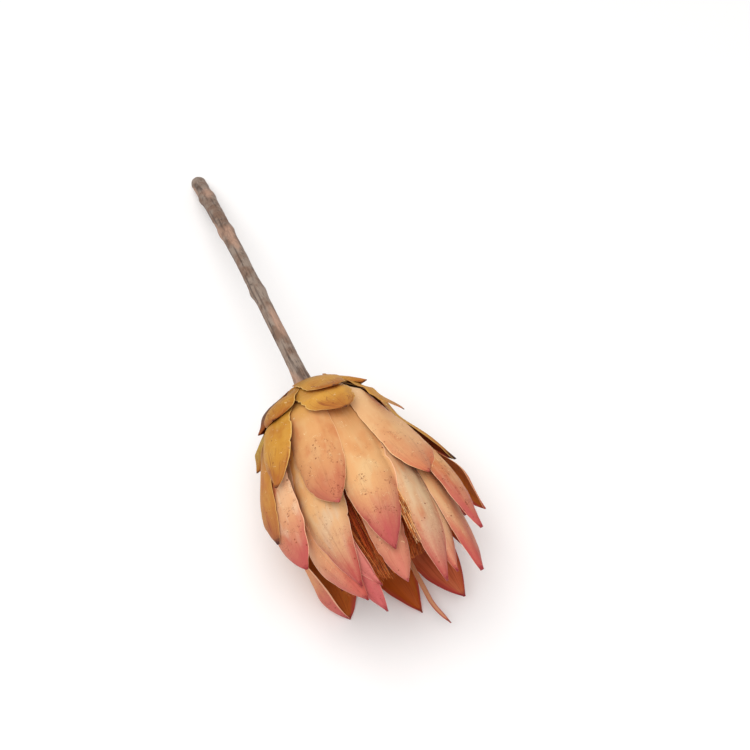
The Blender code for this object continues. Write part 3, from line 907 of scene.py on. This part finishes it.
def stemRoute(share):
    # an even bend from the head's slope down to the cut end on the surface, mm from the head's base
    start, end = math.radians(head["nod"]), math.radians(twig["endSlope"])
    drop = -base[2] / mm + stemRadius(1.0) * math.cos(end)
    bend = drop / (math.cos(start) - math.cos(end))
    slope = start + (end - start) * share
    back = bend * (np.sin(slope) - math.sin(start))
    rise = bend * (math.cos(start) - np.cos(slope))
    return np.stack((twig["sway"] * share ** 2, back + head["clearance"], rise), -1)


def addStem():
    chance = np.random.default_rng(305)
    share = np.linspace(0, 1, twig["rings"])
    route = stemRoute(share)
    ahead = np.gradient(route, axis=0)
    ahead /= np.linalg.norm(ahead, axis=-1, keepdims=True)
    side = np.cross(ahead, (0, 0, 1.0))
    side /= np.linalg.norm(side, axis=-1, keepdims=True)
    up = np.cross(side, ahead)
    route[0] -= ahead[0] * 1.2
    turn = np.linspace(0, 2 * math.pi, twig["sides"], endpoint=False)
    place, turn = np.meshgrid(share, turn, indexing="ij")
    ring = (np.cos(turn) * twig["shank"], np.sin(turn) * twig["shank"], place * twig["length"])
    peel = ease(waves(chance, 9, ring[0] * 0.5, ring[1] * 0.5, ring[2] * 0.16), 0.5, 1.3)
    wrinkle = waves(chance, 9, np.cos(turn) * 7, np.sin(turn) * 7, ring[2] * 0.28)
    lump = waves(chance, 7, ring[0] * 0.35, ring[1] * 0.35, ring[2] * 0.1)
    rough = waves(chance, 12, ring[0] * 1.8, ring[1] * 1.8, ring[2] * 1.6)
    radius = stemRadius(place) * (1 - twig["lumps"] * (1 - lump)) - twig["wrinkles"] * (1 - wrinkle) / 2
    radius = radius - twig["grit"] * (1 - rough) - twig["peelDepth"] * peel
    outward = side[:, None] * np.cos(turn)[..., None] + up[:, None] * np.sin(turn)[..., None]
    points = route[:, None] + radius[..., None] * outward
    cuts = []
    for inner in twig["cutRings"]:
        # the outermost ring stays smooth, where the bark ends
        uneven = chance.normal(0, 1, (twig["sides"], 1)) * (inner < 0.9)
        cuts.append(route[-1] + (points[-1] - route[-1]) * inner + ahead[-1] * twig["cutDepth"] * uneven)
    faces = tubeFaces(twig["rings"] + len(cuts), twig["sides"], flip=True)
    points = np.concatenate((points, np.array(cuts)))
    extra = np.ones((len(cuts), twig["sides"]))
    marks = {
        "peel": np.concatenate((peel, extra * 0)), "cut": np.concatenate((place * 0, extra)),
        "wrinkle": np.concatenate((wrinkle, extra * 0)),
        "ringed": np.concatenate((place * 0 + 1, extra * np.array(twig["cutRings"])[:, None])),
    }
    makePiece("stem_bark", points * mm + base, faces, marks, barkFinish(), ["stem"], sharp=60)
    print("stem made")


def barkFinish():
    paint = Paint("stem_finish")
    peel, cut, wrinkle, ringed = (paint.mark(key) for key in ("peel", "cut", "wrinkle", "ringed"))
    place = paint.place(71)
    stretched = paint.node("VectorMath", {"operation": "MULTIPLY"}, {0: place, 1: (1.0, 0.16, 1.0)})
    streak = paint.noise(stretched, 1.6, 4.0, 0.65)
    cloud = paint.noise(place, 0.16, 3.0, 0.6)
    grain = paint.noise(place, 2.6, 3.0, 0.6)
    colour = paint.mix(paint.fade(cloud, 0.38, 0.62), twig["bark"], twig["grey"])
    colour = paint.mix(paint.fade(streak, 0.5, 0.7) * 0.8, colour, twig["crack"])
    colour = paint.mix(paint.fade(0.0 - wrinkle, 0.2, 1.1) * 0.6, colour, twig["crack"])
    colour = paint.mix(peel * (0.55 + 0.45 * paint.fade(streak, 0.6, 0.4)), colour, twig["peeled"])
    wood = paint.mix(paint.fade(grain, 0.4, 0.7), twig["cut"], twig["pith"])
    wood = paint.mix(paint.fade(ringed, 0.3, 0.12), wood, twig["pith"])
    colour = paint.mix(cut, colour, wood)
    return paint.finish(colour, 0.78 + (grain - 0.5) * 0.2, streak + grain * 0.6, 0.8)


addStem()

room = {
    "floor": (251, 249, 248), "grain": (242, 240, 238),
    "world": 0.58,  # strength of the white surroundings
    "lamp": (-0.2, -0.2, 1.1), "aim": (0, -0.03, 0.03),  # metres
    "lampSize": 0.8, "lampPower": 9,  # metres and watts
}

sight = {
    "azimuth": -24.5, "elevation": 59.5,  # degrees
    "distance": 0.5806,  # metres from the plane through the head's base
    "aside": 0.02295, "above": 0.0036,  # metres that the view's middle lies right of and above the base
    "lens": 85.0,
}


def addRoom():
    bpy.ops.mesh.primitive_plane_add(size=6)
    floor = bpy.context.object
    floor.name = "floor"
    paint = Paint("floor_finish", gloss=0.2)
    grain = paint.noise(paint.place(0), 0.02, 2.0, 0.5)
    colour = paint.mix(grain * 0.1, room["floor"], room["grain"])
    floor.data.materials.append(paint.finish(colour, 0.6 + (grain - 0.5) * 0.1, grain, 0.02))
    world = bpy.data.worlds.new("studio")
    scene.world = world
    world.use_nodes = True
    background = world.node_tree.nodes["Background"]
    background.inputs["Color"].default_value = (1, 1, 1, 1)
    background.inputs["Strength"].default_value = room["world"]
    lamp = bpy.data.lights.new("overhead", "AREA")
    lamp.energy, lamp.size = room["lampPower"], room["lampSize"]
    stand = bpy.data.objects.new("overhead", lamp)
    stand.location = room["lamp"]
    back = np.array(room["lamp"]) - np.array(room["aim"])
    stand.rotation_euler = Vector(back).to_track_quat("Z", "Y").to_euler()
    scene.collection.objects.link(stand)


def addCamera():
    azimuth, elevation = math.radians(sight["azimuth"]), math.radians(sight["elevation"])
    level = math.cos(elevation)
    back = np.array((math.sin(azimuth) * level, -math.cos(azimuth) * level, math.sin(elevation)))
    right = np.array((math.cos(azimuth), math.sin(azimuth), 0))
    above = np.cross(back, right)
    eye = base + right * sight["aside"] + above * sight["above"] + back * sight["distance"]
    lens = bpy.data.cameras.new("view")
    lens.lens, lens.sensor_width, lens.clip_start = sight["lens"], 36.0, 0.01
    camera = bpy.data.objects.new("view", lens)
    axes = np.stack((right, above, back), 1).tolist()
    camera.matrix_world = Matrix([(*axis, place) for axis, place in zip(axes, eye)] + [(0, 0, 0, 1)])
    scene.collection.objects.link(camera)
    scene.camera = camera


scene.view_settings.view_transform = "Standard"
addRoom()
addCamera()
print("room and camera made")
